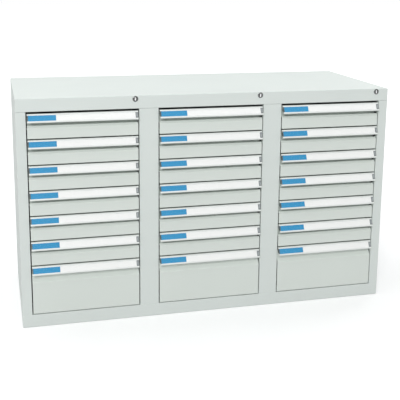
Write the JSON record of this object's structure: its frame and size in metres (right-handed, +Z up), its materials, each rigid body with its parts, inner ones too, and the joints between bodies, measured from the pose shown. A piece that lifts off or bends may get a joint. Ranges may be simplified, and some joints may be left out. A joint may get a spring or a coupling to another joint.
{
  "type": "industrial drawer cabinet",
  "caption": "Low steel workshop cabinet with columns of sliding drawers behind full-width label handles, each column locked by its own cylinder lock.",
  "frame": {"origin": "middle of the footprint on the floor, handles included", "axes": "+X along the width to the right as seen from the front, -Y out of the drawer fronts, +Z up"},
  "size_m": [1.5, 0.618, 0.9],
  "materials": {
    "cabinet_paint": "satin powder coat",
    "drawer_paint": "satin powder coat",
    "handle_plastic": "satin",
    "runner_zinc": "zinc plated",
    "lock_metal": "polished",
    "bar_zinc": "zinc plated"
  },
  "bodies": {
    "cabinet": {"base_pan": "cabinet_paint", "top_cover": "cabinet_paint", "side_left": "cabinet_paint", "side_right": "cabinet_paint", "back_panel": "cabinet_paint", "divider_1": "cabinet_paint", "divider_2": "cabinet_paint", "runner_rack_left": "runner_zinc", "runner_rack_right": "runner_zinc", "lock_housing_1": "lock_metal", "lock_housing_2": "lock_metal", "lock_housing_3": "lock_metal"},
    "drawer_1_1": {"drawer_1_1": "drawer_paint", "handle_1_1": "handle_plastic"},
    "drawer_1_2": {"drawer_1_2": "drawer_paint", "handle_1_2": "handle_plastic"},
    "drawer_1_3": {"drawer_1_3": "drawer_paint", "handle_1_3": "handle_plastic"},
    "drawer_1_4": {"drawer_1_4": "drawer_paint", "handle_1_4": "handle_plastic"},
    "drawer_1_5": {"drawer_1_5": "drawer_paint", "handle_1_5": "handle_plastic"},
    "drawer_1_6": {"drawer_1_6": "drawer_paint", "handle_1_6": "handle_plastic"},
    "drawer_1_7": {"drawer_1_7": "drawer_paint", "handle_1_7": "handle_plastic"},
    "drawer_2_1": {"drawer_2_1": "drawer_paint", "handle_2_1": "handle_plastic"},
    "drawer_2_2": {"drawer_2_2": "drawer_paint", "handle_2_2": "handle_plastic"},
    "drawer_2_3": {"drawer_2_3": "drawer_paint", "handle_2_3": "handle_plastic"},
    "drawer_2_4": {"drawer_2_4": "drawer_paint", "handle_2_4": "handle_plastic"},
    "drawer_2_5": {"drawer_2_5": "drawer_paint", "handle_2_5": "handle_plastic"},
    "drawer_2_6": {"drawer_2_6": "drawer_paint", "handle_2_6": "handle_plastic"},
    "drawer_2_7": {"drawer_2_7": "drawer_paint", "handle_2_7": "handle_plastic"},
    "drawer_3_1": {"drawer_3_1": "drawer_paint", "handle_3_1": "handle_plastic"},
    "drawer_3_2": {"drawer_3_2": "drawer_paint", "handle_3_2": "handle_plastic"},
    "drawer_3_3": {"drawer_3_3": "drawer_paint", "handle_3_3": "handle_plastic"},
    "drawer_3_4": {"drawer_3_4": "drawer_paint", "handle_3_4": "handle_plastic"},
    "drawer_3_5": {"drawer_3_5": "drawer_paint", "handle_3_5": "handle_plastic"},
    "drawer_3_6": {"drawer_3_6": "drawer_paint", "handle_3_6": "handle_plastic"},
    "drawer_3_7": {"drawer_3_7": "drawer_paint", "handle_3_7": "handle_plastic"},
    "lock_barrel_1": {"lock_barrel_1": "lock_metal"},
    "lock_bar_1": {"lock_bar_1": "bar_zinc"},
    "lock_barrel_2": {"lock_barrel_2": "lock_metal"},
    "lock_bar_2": {"lock_bar_2": "bar_zinc"},
    "lock_barrel_3": {"lock_barrel_3": "lock_metal"},
    "lock_bar_3": {"lock_bar_3": "bar_zinc"}
  },
  "joints": [
    {"name": "drawer_1_1_slide", "type": "slide", "parent": "cabinet", "child": "drawer_1_1", "axis": [0, -1, 0], "range_m": [0, 0.44]},
    {"name": "drawer_1_2_slide", "type": "slide", "parent": "cabinet", "child": "drawer_1_2", "axis": [0, -1, 0], "range_m": [0, 0.44]},
    {"name": "drawer_1_3_slide", "type": "slide", "parent": "cabinet", "child": "drawer_1_3", "axis": [0, -1, 0], "range_m": [0, 0.44]},
    {"name": "drawer_1_4_slide", "type": "slide", "parent": "cabinet", "child": "drawer_1_4", "axis": [0, -1, 0], "range_m": [0, 0.44]},
    {"name": "drawer_1_5_slide", "type": "slide", "parent": "cabinet", "child": "drawer_1_5", "axis": [0, -1, 0], "range_m": [0, 0.44]},
    {"name": "drawer_1_6_slide", "type": "slide", "parent": "cabinet", "child": "drawer_1_6", "axis": [0, -1, 0], "range_m": [0, 0.44]},
    {"name": "drawer_1_7_slide", "type": "slide", "parent": "cabinet", "child": "drawer_1_7", "axis": [0, -1, 0], "range_m": [0, 0.44]},
    {"name": "drawer_2_1_slide", "type": "slide", "parent": "cabinet", "child": "drawer_2_1", "axis": [0, -1, 0], "range_m": [0, 0.44]},
    {"name": "drawer_2_2_slide", "type": "slide", "parent": "cabinet", "child": "drawer_2_2", "axis": [0, -1, 0], "range_m": [0, 0.44]},
    {"name": "drawer_2_3_slide", "type": "slide", "parent": "cabinet", "child": "drawer_2_3", "axis": [0, -1, 0], "range_m": [0, 0.44]},
    {"name": "drawer_2_4_slide", "type": "slide", "parent": "cabinet", "child": "drawer_2_4", "axis": [0, -1, 0], "range_m": [0, 0.44]},
    {"name": "drawer_2_5_slide", "type": "slide", "parent": "cabinet", "child": "drawer_2_5", "axis": [0, -1, 0], "range_m": [0, 0.44]},
    {"name": "drawer_2_6_slide", "type": "slide", "parent": "cabinet", "child": "drawer_2_6", "axis": [0, -1, 0], "range_m": [0, 0.44]},
    {"name": "drawer_2_7_slide", "type": "slide", "parent": "cabinet", "child": "drawer_2_7", "axis": [0, -1, 0], "range_m": [0, 0.44]},
    {"name": "drawer_3_1_slide", "type": "slide", "parent": "cabinet", "child": "drawer_3_1", "axis": [0, -1, 0], "range_m": [0, 0.44]},
    {"name": "drawer_3_2_slide", "type": "slide", "parent": "cabinet", "child": "drawer_3_2", "axis": [0, -1, 0], "range_m": [0, 0.44]},
    {"name": "drawer_3_3_slide", "type": "slide", "parent": "cabinet", "child": "drawer_3_3", "axis": [0, -1, 0], "range_m": [0, 0.44]},
    {"name": "drawer_3_4_slide", "type": "slide", "parent": "cabinet", "child": "drawer_3_4", "axis": [0, -1, 0], "range_m": [0, 0.44]},
    {"name": "drawer_3_5_slide", "type": "slide", "parent": "cabinet", "child": "drawer_3_5", "axis": [0, -1, 0], "range_m": [0, 0.44]},
    {"name": "drawer_3_6_slide", "type": "slide", "parent": "cabinet", "child": "drawer_3_6", "axis": [0, -1, 0], "range_m": [0, 0.44]},
    {"name": "drawer_3_7_slide", "type": "slide", "parent": "cabinet", "child": "drawer_3_7", "axis": [0, -1, 0], "range_m": [0, 0.44]},
    {"name": "lock_barrel_1_turn", "type": "hinge", "parent": "cabinet", "child": "lock_barrel_1", "pos_m": [-0.3025, -0.291, 0.8875], "axis": [0, 1, 0], "range_deg": [0, 90]},
    {"name": "lock_bar_1_slide", "type": "slide", "parent": "cabinet", "child": "lock_bar_1", "axis": [0, 0, 1], "range_m": [-0.01, 0]},
    {"name": "lock_barrel_2_turn", "type": "hinge", "parent": "cabinet", "child": "lock_barrel_2", "pos_m": [0.1975, -0.291, 0.8875], "axis": [0, 1, 0], "range_deg": [0, 90]},
    {"name": "lock_bar_2_slide", "type": "slide", "parent": "cabinet", "child": "lock_bar_2", "axis": [0, 0, 1], "range_m": [-0.01, 0]},
    {"name": "lock_barrel_3_turn", "type": "hinge", "parent": "cabinet", "child": "lock_barrel_3", "pos_m": [0.6975, -0.291, 0.8875], "axis": [0, 1, 0], "range_deg": [0, 90]},
    {"name": "lock_bar_3_slide", "type": "slide", "parent": "cabinet", "child": "lock_bar_3", "axis": [0, 0, 1], "range_m": [-0.01, 0]}
  ],
  "couplings": [
    {"joint": "lock_barrel_1_turn", "follows": "lock_bar_1_slide", "rad_per_m": -157.07},
    {"joint": "lock_barrel_2_turn", "follows": "lock_bar_2_slide", "rad_per_m": -157.07},
    {"joint": "lock_barrel_3_turn", "follows": "lock_bar_3_slide", "rad_per_m": -157.07}
  ]
}
